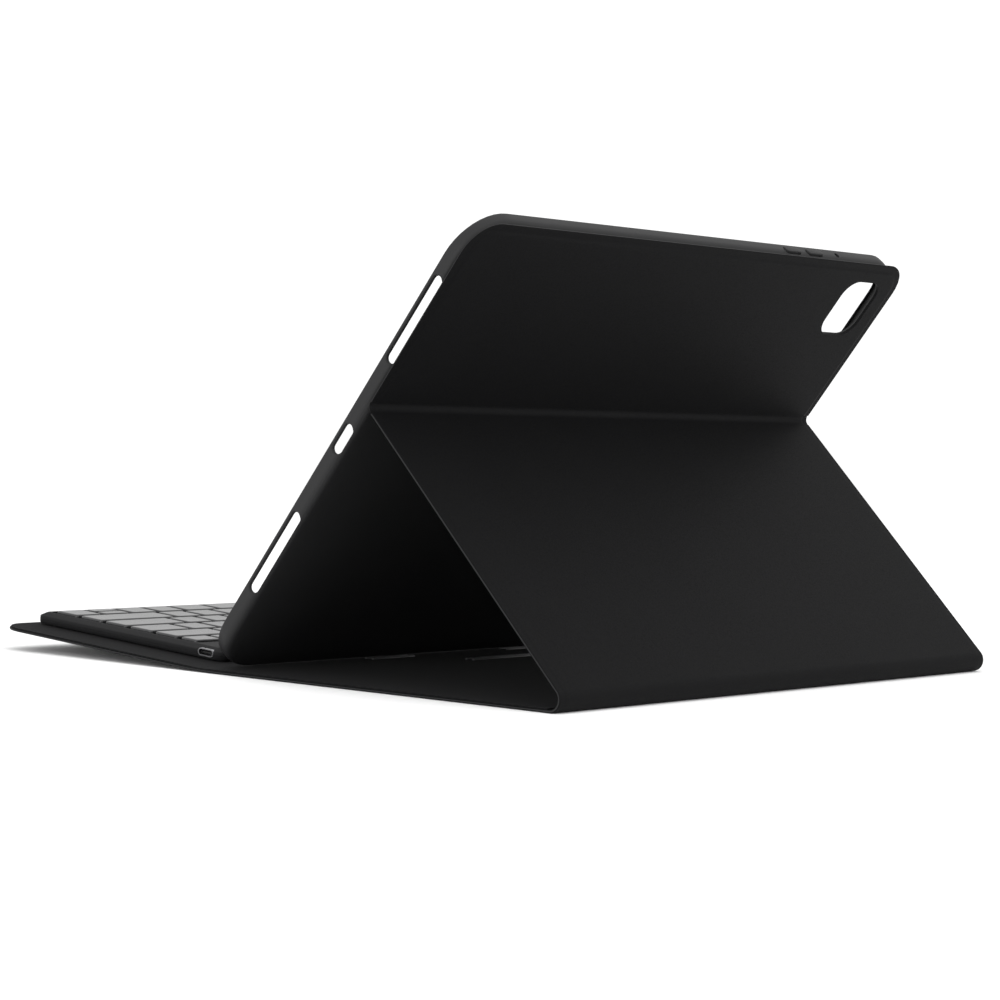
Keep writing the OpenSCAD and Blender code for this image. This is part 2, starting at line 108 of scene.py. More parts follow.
# Keyboard
KB_W, KB_D, KB_R, KB_REAR, REAR_BAR = 250.0, 115.5, 5.0, 7.2, 19.0
KEY_PITCH, ROW_PITCH, TOP_PITCH, KEY_GAP = 16.0, 15.7, 12.0, 2.0
KEY_COLUMNS, KEY_ROW_COUNT = 15, 6
KEY_R, KEY_EDGE, KEY_LOW_EDGE, KEY_DISH = 1.6, 0.85, 0.15, 0.05
ARROW_GAP = 1.0         # between the up and down arrows
WELL_GAP = 0.7          # between the outer keys and the border
BOTTOM_Z = BASE_T + 0.4
SEAM_Z = BOTTOM_Z + 1.9
DECK_Z = SEAM_Z + 1.9
RIM_Z = DECK_Z + 1.2
KEY_Z, KEY_H = DECK_Z + 0.1, 1.8
WELL_W = KEY_COLUMNS * KEY_PITCH + 2 * WELL_GAP
WELL_D = TOP_PITCH + (KEY_ROW_COUNT - 1) * ROW_PITCH + 2 * WELL_GAP
WELL_R = 2.5
TOP_UNDER = SEAM_Z + 1.1      # underside of the top case's face
TOP_WALL_IN = 1.8             # inner face of its wall
SOCKET_DROP, SOCKET_LEN, SOCKET_W, SOCKET_DEEP, SOCKET_Z = 8.7, 9.1, 3.3, 5.5, SEAM_Z + 0.7
TONGUE_IN, TONGUE_LEN, TONGUE_W, TONGUE_R, TONGUE_EDGE = 2.6, 3.6, 5.6, 0.3, 0.15
TONGUE_LOW, TONGUE_HIGH = SEAM_Z + 0.4, SEAM_Z + 1.0
SWITCH_DROP, SWITCH_LEN, SWITCH_W, SWITCH_DEEP, SWITCH_Z = 26.0, 9.8, 2.0, 3.0, SEAM_Z + 0.6
SWITCH_TRAVEL = 3.0
SLIDER_LEN, SLIDER_W, SLIDER_EASE = 6.0, 1.5, 0.4
SLIDER_LOW, SLIDER_MID, SLIDER_TOP = -2.2, 0.2, 0.4
RIDGE_XS, RIDGE_ZS, RIDGE_T, RIDGE_W, RIDGE_R = (-1.2, 0, 1.2), (0.35, 0.5), 0.4, 0.9, 0.15
LIGHT_XS, LIGHT_DROP, LIGHT_D, LIGHT_DEEP = (96, 102, 108), 2.6, 1.5, 0.9

# Ribs on the base's lining: x, y and length of each
RIBS = [(side * 43, y, 26) for side in (-1, 1) for y in (-18, -22)] + [(0, 4, 44), (0, 8, 44)]
RIB_W, RIB_R, RIB_H, RIB_EDGE = 1.4, 0.65, 0.7, 0.5

# Camera: angles in degrees, place from the rear hinge's middle on the desk
VIEW_YAW, VIEW_PITCH, VIEW_ROLL = 49.29, -1.72, 1.53
VIEW_RIGHT, VIEW_BEHIND, VIEW_UP = 886.2, 613.8, 103.8
VIEW_LENS, VIEW_SENSOR = 98.64, 36
WORLD_STRENGTH = 1.12
FLOOR_HALF = 60         # half the floor's width, in metres

# Widths of the keys in each row, in key pitches, and the node that each run of keys belongs to
KEY_ROWS = [
    [1] * 15,
    [1] * 13 + [2],
    [1.5] + [1] * 12 + [1.5],
    [1.75] + [1] * 11 + [2.25],
    [2.25] + [1] * 10 + [2.75],
    [1, 1, 1, 1.25, 5.5, 1.25, 1, 1, 1, 1],
]
KEY_RUNS = [
    ("function_keys", 0, 0, 14), ("number_keys", 1, 0, 12), ("backspace_key", 1, 13, 13),
    ("tab_key", 2, 0, 0), ("upper_letter_keys", 2, 1, 13), ("caps_key", 3, 0, 0),
    ("home_letter_keys", 3, 1, 11), ("return_key", 3, 12, 12), ("left_shift_key", 4, 0, 0),
    ("lower_letter_keys", 4, 1, 10), ("right_shift_key", 4, 11, 11), ("left_modifier_keys", 5, 0, 3),
    ("space_bar", 5, 4, 4), ("right_modifier_keys", 5, 5, 6), ("left_arrow_key", 5, 7, 7),
    ("up_arrow_key", 5, 8, 8), ("down_arrow_key", 5, 8, 8), ("right_arrow_key", 5, 9, 9),
]
HALF_KEYS = {"up_arrow_key": 1, "down_arrow_key": -1}

# ---- the frame: hinge axes and angles, read from the joints ----

joints = {j["name"]: j for j in frame["joints"]}
HINGE = Vector(joints["stand_bend"]["pos_m"]) / MM
FOLD = Vector(joints["cover_fold"]["pos_m"]) / MM
BEND_R = HINGE.z
reach = FOLD - HINGE
STAND_LEN = math.sqrt(reach.length_squared - BEND_R ** 2)
STAND_ANGLE = math.pi - math.atan2(reach.z, reach.y) - math.atan(BEND_R / STAND_LEN)
up_axis = joints["volume_up_press"]["axis"]
TILT = math.atan2(-up_axis[2], -up_axis[1])
key_axis = joints["space_bar_press"]["axis"]
SLOPE = math.atan2(-key_axis[1], -key_axis[2])
SHEET_W = (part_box("base_skin")[1].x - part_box("base_skin")[0].x) / MM
FRONT_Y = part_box("base_skin")[0].y / MM
BASE_LEN = HINGE.y - FRONT_Y

TRAY = Matrix.Translation(FOLD) @ Matrix.Rotation(TILT, 4, "X")
LEAF = Matrix.Translation((0, LEAF_Y, 0)) @ Matrix.Rotation(-SLOPE, 4, "X")
UPRIGHT = Matrix.Identity(4)


# ---- mesh tools ----

SHARP = 32   # degrees: edges sharper than this stay sharp in shading


def make(name, points, faces, place, material, face_materials=None, extra=None, smooth=SHARP):
    """A mesh object from points in millimetres, shaded smooth except at edges sharper than smooth degrees."""
    mesh = bpy.data.meshes.new(name)
    mesh.from_pydata([(place @ Vector(p)) * MM for p in points], [], faces)
    mesh.materials.append(material)
    if extra:
        mesh.materials.append(extra)
    if face_materials:
        mesh.polygons.foreach_set("material_index", face_materials)
    mesh.validate()
    mesh.polygons.foreach_set("use_smooth", [True] * len(mesh.polygons))
    mesh.set_sharp_from_angle(angle=math.radians(smooth))
    piece = bpy.data.objects.new(name, mesh)
    bpy.context.scene.collection.objects.link(piece)
    return piece


def round_rect(cx, cy, w, h, r, steps=7):
    """Outline of a rectangle with round corners, anticlockwise."""
    outline = []
    for sx, sy, start in ((1, 1, 0), (-1, 1, 90), (-1, -1, 180), (1, -1, 270)):
        for i in range(steps + 1):
            a = math.radians(start + 90 * i / steps)
            outline.append((cx + sx * (w / 2 - r) + r * math.cos(a), cy + sy * (h / 2 - r) + r * math.sin(a)))
    return outline


def shell(levels):
    """Points and faces of a closed loft: levels are (outline, height) pairs, all of the same count."""
    points, faces = [], []
    n = len(levels[0][0])
    for outline, z in levels:
        points += [(x, y, z) for x, y in outline]
    for k in range(len(levels) - 1):
        for i in range(n):
            j = (i + 1) % n
            faces.append((k * n + i, k * n + j, (k + 1) * n + j, (k + 1) * n + i))
    faces.append(tuple(reversed(range(n))))
    faces.append(tuple(range((len(levels) - 1) * n, len(levels) * n)))
    return points, faces


def join_shells(shells):
    """One set of points and faces from several."""
    points, faces = [], []
    for p, f in shells:
        base = len(points)
        points += p
        faces += [tuple(i + base for i in face) for face in f]
    return points, faces


def quarter(steps):
    """Angles of a quarter turn, from 0 to 90 degrees."""
    return [math.radians(90 * i / steps) for i in range(steps + 1)]


MIN_R, MIN_DISH_R = 0.05, 0.03   # smallest corner radii of a pillow's rings
TOP_FLAT = 0.25                  # flat strip between a pillow's rounded edge and its dish
DISH_RINGS = ((0.55, 0.75), (0.2, 1.0))   # share of the flat top's size, share of the dish's depth


def pillow(cx, cy, w, h, r, z0, z1, edge, low_edge=0.0, dish=0.0, steps=6):
    """A block with a rounded upper edge, a slightly eased lower edge and a shallow dish on top."""
    def level(inset, z):
        return round_rect(cx, cy, w - 2 * inset, h - 2 * inset, max(r - inset, MIN_R), steps), z

    levels = [level(low_edge, z0)] if low_edge else []
    levels.append(level(0, z0 + low_edge))
    levels += [level(edge * (1 - math.cos(a)), z1 - edge + edge * math.sin(a)) for a in quarter(4)]
    flat = edge + TOP_FLAT
    levels.append(level(flat, z1))
    if dish:
        for share, depth in DISH_RINGS:
            levels.append((round_rect(cx, cy, (w - 2 * flat) * share, (h - 2 * flat) * share,
                                      max((r - flat) * share, MIN_DISH_R), steps), z1 - dish * depth))
    return shell(levels)


def cut(piece, cutters):
    """Cuts the cutters' joined shape out of a piece and removes them."""
    for cutter in cutters:
        boolean = piece.modifiers.new("cut", "BOOLEAN")
        boolean.operation = "DIFFERENCE"
        boolean.solver = "EXACT"
        boolean.object = cutter
        bpy.context.view_layer.objects.active = piece
        bpy.ops.object.modifier_apply(modifier=boolean.name)
        bpy.data.objects.remove(cutter)
    piece.data.set_sharp_from_angle(angle=math.radians(SHARP))


def ease(t):
    """0 to 1 with a soft start and end."""
    t = min(max(t, 0.0), 1.0)
    return t * t * (3 - 2 * t)


# Distances from an edge at which a sheet's mesh has rows and columns
EDGE_STEPS = [0, 0.08, 0.2, 0.4, 0.8, 1.6, 2.4, 3.0, 3.3, 3.6, 3.9, 4.2, 4.5, 5.5, 8.0, 11.0, 14.0]


def steps_along(length, coarse):
    """Distances along a length: fine from its start, then coarse, then fine again to its end."""
    inner = length - 2 * EDGE_STEPS[-1]
    count = max(int(inner / coarse), 1)
    middle = [EDGE_STEPS[-1] + inner * i / count for i in range(1, count)]
    return EDGE_STEPS + middle + [length - d for d in reversed(EDGE_STEPS)]


# ---- materials: each one procedural, in object coordinates ----

TINT_SCALE, TINT_DETAIL = 28, 4    # broad colour variation: noise cells in a metre
GRAIN_DETAIL, RELIEF = 6, 0.6


def surface(name, color, rough, grain, depth, mottle=0.18, rough_spread=0.08, metallic=0.0,
            specular=0.5, sheen=0.0, cells=False, coat=0.0):
    """A principled material whose colour, roughness and relief all come from noise.

    Grain is the size of the fine noise and depth is its relief, both in millimetres.
    """
    material = bpy.data.materials.new(name)
    material.use_nodes = True
    nodes, links = material.node_tree.nodes, material.node_tree.links
    shader = nodes["Principled BSDF"]
    where = nodes.new("ShaderNodeTexCoord")

    broad = nodes.new("ShaderNodeTexNoise")
    broad.inputs["Scale"].default_value = TINT_SCALE
    broad.inputs["Detail"].default_value = TINT_DETAIL
    links.new(where.outputs["Object"], broad.inputs["Vector"])
    tint = nodes.new("ShaderNodeMix")
    tint.data_type = "RGBA"
    tint.inputs["A"].default_value = [c * (1 - mottle) for c in color] + [1]
    tint.inputs["B"].default_value = [min(c * (1 + mottle), 1) for c in color] + [1]
    links.new(broad.outputs["Fac"], tint.inputs["Factor"])
    links.new(tint.outputs["Result"], shader.inputs["Base Color"])

    if cells:
        fine = nodes.new("ShaderNodeTexVoronoi")
        fine.feature = "SMOOTH_F1"
        relief = fine.outputs["Distance"]
    else:
        fine = nodes.new("ShaderNodeTexNoise")
        fine.inputs["Detail"].default_value = GRAIN_DETAIL
        relief = fine.outputs["Fac"]
    fine.inputs["Scale"].default_value = 1 / (grain * MM)
    links.new(where.outputs["Object"], fine.inputs["Vector"])

    spread = nodes.new("ShaderNodeMapRange")
    spread.inputs["To Min"].default_value = max(rough - rough_spread, 0.02)
    spread.inputs["To Max"].default_value = min(rough + rough_spread, 1)
    links.new(relief, spread.inputs["Value"])
    links.new(spread.outputs["Result"], shader.inputs["Roughness"])

    bump = nodes.new("ShaderNodeBump")
    bump.inputs["Strength"].default_value = RELIEF
    bump.inputs["Distance"].default_value = depth * MM
    links.new(relief, bump.inputs["Height"])
    links.new(bump.outputs["Normal"], shader.inputs["Normal"])

    shader.inputs["Metallic"].default_value = metallic
    shader.inputs["Specular IOR Level"].default_value = specular
    shader.inputs["Sheen Weight"].default_value = sheen
    shader.inputs["Coat Weight"].default_value = coat
    return material


LEATHER = surface("leather", (0.0034, 0.0034, 0.0037), 0.66, 0.55, 0.05, specular=0.075, cells=True)
# Cut edge of the leather: its own satin finish, and a colour about three times lighter than the leather's, a
# painted highlight standing in for the glint of light along the edge
EDGE_WITH_PAINTED_GLINT = surface("leather_cut_edge_with_painted_glint", (0.01, 0.01, 0.0105), 0.55, 0.3, 0.03, specular=0.22)
LINING = surface("lining", (0.0085, 0.0085, 0.009), 0.9, 0.25, 0.08, specular=0.06, sheen=0.01)
TPU = surface("tray_tpu", (0.0145, 0.0145, 0.015), 0.55, 0.22, 0.015, specular=0.22)
CASE = surface("keyboard_case", (0.009, 0.009, 0.0095), 0.72, 0.3, 0.02, specular=0.14)
KEYCAP = surface("keycap", (0.014, 0.014, 0.015), 0.3, 0.2, 0.008, mottle=0.3, rough_spread=0.12,
                 specular=0.5, coat=0.12)
RUBBER = surface("rubber", (0.015, 0.015, 0.015), 0.7, 0.4, 0.04, specular=0.3)
SILICONE = surface("rib_silicone", (0.05, 0.05, 0.052), 0.35, 0.4, 0.02, specular=0.5)
ADHESIVE = surface("adhesive", (0.02, 0.02, 0.02), 0.6, 0.6, 0.03)
BOARD = surface("fibre_board", (0.25, 0.22, 0.17), 0.85, 0.5, 0.08, mottle=0.3)
NICKEL = surface("magnet_nickel", (0.6, 0.6, 0.62), 0.3, 0.8, 0.01, metallic=1.0)
STEEL = surface("plate_steel", (0.5, 0.5, 0.52), 0.35, 0.5, 0.02, metallic=1.0)
SOCKET = surface("socket_steel", (0.3, 0.3, 0.31), 0.35, 0.3, 0.01, metallic=1.0)
FOIL = surface("battery_foil", (0.6, 0.6, 0.62), 0.4, 1.5, 0.05, metallic=0.9)
CIRCUIT = surface("circuit_board", (0.02, 0.12, 0.05), 0.4, 0.5, 0.03, mottle=0.3)
FILM = surface("contact_film", (0.5, 0.48, 0.4), 0.45, 1.0, 0.02)
DOME = surface("dome_rubber", (0.5, 0.5, 0.5), 0.6, 0.4, 0.02)
SWITCH = surface("switch_plastic", (0.1, 0.1, 0.105), 0.4, 0.3, 0.03)
WINDOW = surface("light_window", (0.5, 0.55, 0.58), 0.15, 0.4, 0.01, specular=0.6)


# ---- the cover sheet ----

def sheet(name, path, thickness, round_start, round_end, border_start, border_end, press_at):
    """A sheet of leather over a path of (y, z, inward y, inward z, distance) points, with pressed borders.

    Thickness is a function of the distance. round_start and round_end say which ends have round corners, and
    border_start and border_end which have the pressed border; press_at gives its depth at a distance.
    """
    half = SHEET_W / 2
    length = path[-1][4]
    columns = [half - d for d in EDGE_STEPS]
    inner = [half - EDGE_STEPS[-1] - COLUMN_STEP * i for i in range(1, 16)]
    across = [x / half for x in columns + [x for x in inner if x > COLUMN_STEP / 2]]
    across = [-x for x in across] + [0.0] + list(reversed(across))

    def half_width(v):
        for is_round, w in ((round_start, v), (round_end, length - v)):
            if is_round and w < SHEET_R:
                return half - SHEET_R + math.sqrt(max(SHEET_R ** 2 - (SHEET_R - w) ** 2, 0))
        return half

    def edge_distance(x, v):
        ends = []
        for is_round, bordered, w in ((round_start, border_start, v), (round_end, border_end, length - v)):
            if is_round and w < SHEET_R and abs(x) > half - SHEET_R:
                return SHEET_R - math.hypot(abs(x) - (half - SHEET_R), SHEET_R - w)
            if bordered:
                ends.append(w)
        return min([half - abs(x)] + ends)

    outer, inside = [], []
    for y, z, ny, nz, v in path:
        thick = thickness(v)
        for u in across:
            x = u * half_width(v)
            d = max(edge_distance(x, v), 0)
            press = press_at(v) * (1 - ease((d - RIM_FROM) / (RIM_TO - RIM_FROM)))
            curl = CURL * (1 - math.sqrt(max(1 - (1 - min(d / CURL_REACH, 1)) ** 2, 0)))
            o = min(press + curl, thick * MOST_INSET)
            i = thick - min(INNER_PRESS * press + curl, thick * MOST_INSET)
            outer.append((x, y + ny * o, z + nz * o))
            inside.append((x, y + ny * i, z + nz * i))

    n, rows = len(across), len(path)
    total = n * rows
    faces, kinds = [], []
    for k in range(rows - 1):
        for i in range(n - 1):
            a = k * n + i
            faces.append((a, a + n, a + n + 1, a + 1))
            faces.append((total + a, total + a + 1, total + a + n + 1, total + a + n))
            kinds += [0, 0]
        for a, b in ((k * n, k * n + n), (k * n + 2 * n - 1, k * n + n - 1)):
            faces.append((a, total + a, total + b, b))
            kinds.append(1)
    for i in range(n - 1):
        for a, b in ((i + 1, i), ((rows - 1) * n + i, (rows - 1) * n + i + 1)):
            faces.append((a, total + a, total + b, b))
            kinds.append(1)
    # Faces of kind 1, the cut edges, take the second material: the edge's own satin finish, with a lighter
    # colour that is partly a painted highlight along the edge
    return make(name, outer + inside, faces, UPRIGHT, LEATHER, kinds, EDGE_WITH_PAINTED_GLINT, smooth=50)


def measured(points):
    """Adds to each (y, z, inward y, inward z) point its distance along the path."""
    path, run = [], 0.0
    for k, p in enumerate(points):
        if k:
            run += math.hypot(p[0] - points[k - 1][0], p[1] - points[k - 1][1])
        path.append((*p, run))
    return path


def leaf_height(y):
    """Height of the base's underside: flat on the desk, then a soft crease, then the sloping front leaf."""
    rise = math.tan(SLOPE)
    if y > LEAF_Y + CREASE_SOFT:
        return 0.0
    if y < LEAF_Y - CREASE_SOFT:
        return (LEAF_Y - y) * rise
    return rise * (LEAF_Y + CREASE_SOFT - y) ** 2 / (4 * CREASE_SOFT)


def base_path():
    """Path of the outer face: front edge, leaf, flat base, rear bend and stand panel."""
    points = []
    for y in [FRONT_Y + d for d in steps_along(BASE_LEN, BASE_STEP)]:
        lean = math.atan((leaf_height(y - LEAN_PROBE) - leaf_height(y + LEAN_PROBE)) / (2 * LEAN_PROBE))
        points.append((y, leaf_height(y), math.sin(lean), math.cos(lean)))
    turn = math.pi - STAND_ANGLE
    for i in range(1, BEND_ROWS):
        a = -math.pi / 2 + turn * i / BEND_ROWS
        out_y, out_z = math.cos(a), math.sin(a)
        points.append((HINGE.y + BEND_R * out_y, HINGE.z + BEND_R * out_z, -out_y, -out_z))
    ny, nz = -math.sin(STAND_ANGLE), -math.cos(STAND_ANGLE)
    for s in steps_along(STAND_LEN - FOLD_SOFT - STAND_END_GAP, PANEL_STEP):
        points.append((HINGE.y - ny * BEND_R - s * math.cos(STAND_ANGLE),
                       HINGE.z - nz * BEND_R + s * math.sin(STAND_ANGLE), ny, nz))
    return measured(points)


def build_lower_cover():
    """Base, rear bend and stand panel, in one sheet."""
    def thickness(v):
        return PANEL_T + (STAND_T - PANEL_T) * ease((v - BASE_LEN) / STAND_THIN_OVER)

    def pressed(v):
        return RIM_PRESS * (1 - STAND_PRESS_LOSS * ease((v - BASE_LEN + STAND_PRESS_OVER) / STAND_PRESS_OVER))

    cover = sheet("cover_base_and_stand", base_path(), thickness, True, False, True, False, pressed)
    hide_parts("base_skin", "rear_bend_strip", "stand_skin")
    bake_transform(cover)


def camera_window(grow):
    """Outline of the camera window, larger by grow on each side."""
    return round_rect(-(SHEET_W / 2 - CAMERA_IN), FOLD_DROP - CAMERA_DOWN,
                      CAMERA_W + 2 * grow, CAMERA_H + 2 * grow, CAMERA_R + grow, 9)


def punch(outline, low, high, place, material):
    """A straight cutter between two heights."""
    return make("cutter", *shell([(outline, low), (outline, high)]), place, material)


def build_upper_cover():
    """Upper panel with its camera window, and the soft fold that joins it to the stand panel."""
    down = Vector((0, math.cos(STAND_ANGLE), -math.sin(STAND_ANGLE)))
    up = Vector((0, math.cos(TILT), math.sin(TILT)))
    stand_in = Vector((0, -math.sin(STAND_ANGLE), -math.cos(STAND_ANGLE)))
    tray_in = Vector((0, -math.sin(TILT), math.cos(TILT)))
    points = []
    for s in (FOLD_SOFT + FOLD_LAP, FOLD_SOFT + FOLD_LAP / 2, FOLD_SOFT):
        p = FOLD + down * s + stand_in * FOLD_UNDER
        points.append((p.y, p.z, stand_in.y, stand_in.z))
    for i in range(1, FOLD_ROWS):
        t = i / FOLD_ROWS
        normal = stand_in.lerp(tray_in, ease(t)).normalized()
        p = FOLD + down * FOLD_SOFT * (1 - t) ** 2 + up * FOLD_SOFT * t ** 2 + \
            normal * (FOLD_UNDER + GROOVE_DEEP * t * t)
        points.append((p.y, p.z, normal.y, normal.z))
    groove = len(points)
    lowest = FOLD + up * FOLD_SOFT + tray_in * (FOLD_UNDER + GROOVE_DEEP)
    points.append((lowest.y, lowest.z, tray_in.y, tray_in.z))
    for s in steps_along(FOLD_DROP - FOLD_SOFT - GROOVE_W, PANEL_STEP):
        p = FOLD + up * (FOLD_SOFT + GROOVE_W + s)
        points.append((p.y, p.z, tray_in.y, tray_in.z))
    path = measured(points)
    fold_end = path[groove][4]

    def thickness(v):
        return FOLD_T + (PANEL_T - FOLD_T) * ease((v - fold_end) / UPPER_THICK_OVER)

    cover = sheet("cover_upper_panel", path, thickness, False, True, False, True,
                  lambda v: RIM_PRESS * UPPER_PRESS)
    cut(cover, [punch(camera_window(0), -SHEET_CUT, SHEET_CUT, TRAY, LEATHER)])
    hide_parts("upper_skin", "fold_strip")
    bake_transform(cover)


# ---- the tray ----

def tray_level(side, top, foot, r, z):
    """One outline of the tray: insets from its sides, top and foot."""
    high, low = FOLD_DROP - top, FOLD_DROP - TRAY_H + foot
    return round_rect(0, (high + low) / 2, TRAY_W - 2 * side, high - low, r, 10), z


def stadium(length, w, cx=0, cy=0):
    """Outline with half-round ends."""
    return round_rect(cx, cy, length, w, w / 2 - 0.01, 6)


def side_place(panel, side, width, y, z):
    """A place on a panel's left (-1) or right (1) side, with +Z outwards."""
    return panel @ Matrix.Translation((side * width / 2, y, z)) @ \
        Matrix.Rotation(math.radians(90) * side, 4, "Y") @ Matrix.Rotation(math.radians(90), 4, "Z")


def side_cutter(side, drop, length):
    """Slot through a side wall, with a flared mouth outside."""
    levels = [(stadium(length, SLOT_W), -WALL - 1.5)] + \
        [(stadium(length + grow, SLOT_W + grow), z) for grow, z in SLOT_MOUTH]
    return make("cutter", *shell(levels), side_place(TRAY, side, TRAY_W, FOLD_DROP - drop, SLOT_Z), TPU)


def wall_pad(name, place, body, node):
    """A raised button in the tray's wall; place has its origin in the wall's face and +Z outwards."""
    levels = [(stadium(PAD_LEN, PAD_W), -WALL)]
    for a in quarter(4):
        inset = PAD_ROUND * (1 - math.cos(a))
        levels.append((stadium(PAD_LEN - 2 * inset, PAD_W - 2 * inset), PAD_OUT + PAD_ROUND * math.sin(a)))
    pad = make(name, *shell(levels), place, TPU)
    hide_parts(node)
    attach(pad, body)


def top_wall(x):
    """A place on the tray's top wall, with +Z outwards."""
    return TRAY @ Matrix.Translation((x, FOLD_DROP, SLOT_Z)) @ Matrix.Rotation(math.radians(-90), 4, "X")


def buttons():
    """Name, body, node and place of each button."""
    return [("volume_up", "volume_up", "volume_up_button", top_wall(VOLUME_UP_X)),
            ("volume_down", "volume_down", "volume_down_button", top_wall(VOLUME_DOWN_X)),
            ("side_press_pad", "side_push", "side_button",
             side_place(TRAY, -1, TRAY_W, FOLD_DROP - SIDE_PAD_DROP, SLOT_Z))]


def build_tray():
    """One closed loft, from the back face over the rim and down into the pocket, then its openings."""
    low, high = STACK_T, STACK_T + TRAY_D
    ring = BACK_EDGE + FACE_RING
    levels = [tray_level(ring, ring, ring, TRAY_R - ring, low),
              tray_level(BACK_EDGE, BACK_EDGE, FOOT_EDGE, TRAY_R - BACK_EDGE, low)]
    for a in quarter(6)[1:]:
        inset = BACK_EDGE * (1 - math.sin(a))
        levels.append(tray_level(inset, inset, FOOT_EDGE * (1 - math.sin(a)), TRAY_R - inset,
                                 low + BACK_EDGE * (1 - math.cos(a))))
    for a in quarter(6):
        inset = LIP_EDGE * (1 - math.cos(a))
        levels.append(tray_level(inset, inset, inset, TRAY_R - inset,
                                 high - LIP_EDGE + LIP_EDGE * math.sin(a)))
    mouth = WALL + LIP_W
    mouth_foot = FOOT_T + LIP_W
    pocket_high, pocket_low = high - LIP_T, low + BACK_T
    for ease_in, z in ((-MOUTH_EASE, high), (0, high - MOUTH_EASE_D), (0, pocket_high)):
        levels.append(tray_level(mouth + ease_in, mouth + ease_in, mouth_foot + ease_in, TRAY_R - mouth, z))
    for inset, z in ((0, pocket_high), (0, pocket_low + POCKET_EASE), (POCKET_EASE, pocket_low),
                     (FACE_RING, pocket_low)):
        levels.append(tray_level(WALL + inset, WALL + inset, FOOT_T + inset, TRAY_R - WALL - inset, z))
    tray = make("tray", *shell(levels), TRAY, TPU)

    cutters = [side_cutter(side, PORT_DROP + step * SPEAKER_STEP, SPEAKER_LEN)
               for side in (-1, 1) for step in (-1, 1)]
    cutters.append(side_cutter(1, PORT_DROP, PORT_LEN))
    cutters.append(punch(camera_window(CAMERA_GAP), 0, TRAY_CUT, TRAY, TPU))
    pad_hole = stadium(PAD_LEN + 2 * PAD_GAP, PAD_W + 2 * PAD_GAP)
    cutters += [punch(pad_hole, -WALL - CUT_PAST, CUT_PAST, place, TPU)
                for name, body, node, place in buttons()]
    cutters.append(punch(stadium(MIC_D, MIC_D), -WALL - CUT_PAST, CUT_PAST, top_wall(MIC_X), TPU))
    cut(tray, cutters)
    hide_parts("tray_shell")
    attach(tray, "tray")
    for name, body, node, place in buttons():
        wall_pad(name, place, body, node)


# ---- the keyboard ----

ROWS_REAR = KB_REAR + REAR_BAR + WELL_GAP
WELL_Y = -(ROWS_REAR - WELL_GAP + WELL_D / 2)
KB_Y = -(KB_REAR + KB_D / 2)


def kb_level(inset, z):
    """One outline of the keyboard's case."""
    return round_rect(0, KB_Y, KB_W - 2 * inset, KB_D - 2 * inset, max(KB_R - inset, 0.3), 8), z


def well_level(grow, z):
    """One outline of the well that the keys stand in."""
    return round_rect(0, WELL_Y, WELL_W + 2 * grow, WELL_D + 2 * grow, WELL_R + grow, 8), z


def side_openings():
    """Cutters of the charging socket, on the right, and of the power switch, on the left."""
    socket = side_place(LEAF, 1, KB_W, -(KB_REAR + SOCKET_DROP), SOCKET_Z)
    switch = side_place(LEAF, -1, KB_W, -(KB_REAR + SWITCH_DROP), SWITCH_Z)
    return [punch(stadium(SOCKET_LEN, SOCKET_W), -SOCKET_DEEP, CUT_PAST, socket, CASE),
            punch(stadium(SWITCH_LEN, SWITCH_W), -SWITCH_DEEP, CUT_PAST, switch, CASE)]


def build_keyboard_case():
    """Bottom case with a round edge, and top case with a bevelled border around the well."""
    bottom = make("keyboard_bottom", *shell([
        kb_level(3.2, BOTTOM_Z), kb_level(1.0, BOTTOM_Z), kb_level(0.45, BOTTOM_Z + 0.2),
        kb_level(0.1, BOTTOM_Z + 0.8), kb_level(0, SEAM_Z - 0.15), kb_level(0.15, SEAM_Z),
        kb_level(2.0, SEAM_Z)]), LEAF, CASE)
    cut(bottom, side_openings())
    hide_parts("keyboard_bottom_case")
    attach(bottom, "keyboard")

    wall_top = SEAM_Z + 1.5
    levels = [well_level(0, TOP_UNDER), well_level(1, TOP_UNDER), kb_level(2.2, TOP_UNDER),
              kb_level(TOP_WALL_IN, SEAM_Z + 0.9), kb_level(TOP_WALL_IN, SEAM_Z), kb_level(0.15, SEAM_Z),
              kb_level(0, SEAM_Z + 0.15), kb_level(0.05, wall_top - 0.2), kb_level(0.25, wall_top + 0.1),
              kb_level(0.6, wall_top + 0.3), kb_level(2.9, RIM_Z - 0.15), kb_level(3.3, RIM_Z - 0.03),
              kb_level(3.7, RIM_Z), well_level(0.4, RIM_Z), well_level(0.1, RIM_Z - 0.15),
              well_level(0, RIM_Z - 0.5), well_level(0, TOP_UNDER)]
    points, faces = shell(levels)
    # The loft is a closed ring: without its two end faces, its last level is its first one
    n = len(levels[0][0])
    last = (len(levels) - 1) * n
    joined = {last + i: i for i in range(n)}
    faces = [tuple(joined.get(i, i) for i in face) for face in faces[:-2]]
    top = make("keyboard_top", points[:last], faces, LEAF, CASE)
    lights = [stadium(LIGHT_D, LIGHT_D, x, -(KB_REAR + LIGHT_DROP)) for x in LIGHT_XS]
    cut(top, side_openings() +
        [punch(light, RIM_Z - LIGHT_DEEP, RIM_Z + CUT_PAST, LEAF, CASE) for light in lights])
    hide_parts("keyboard_top_case")
    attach(top, "keyboard")


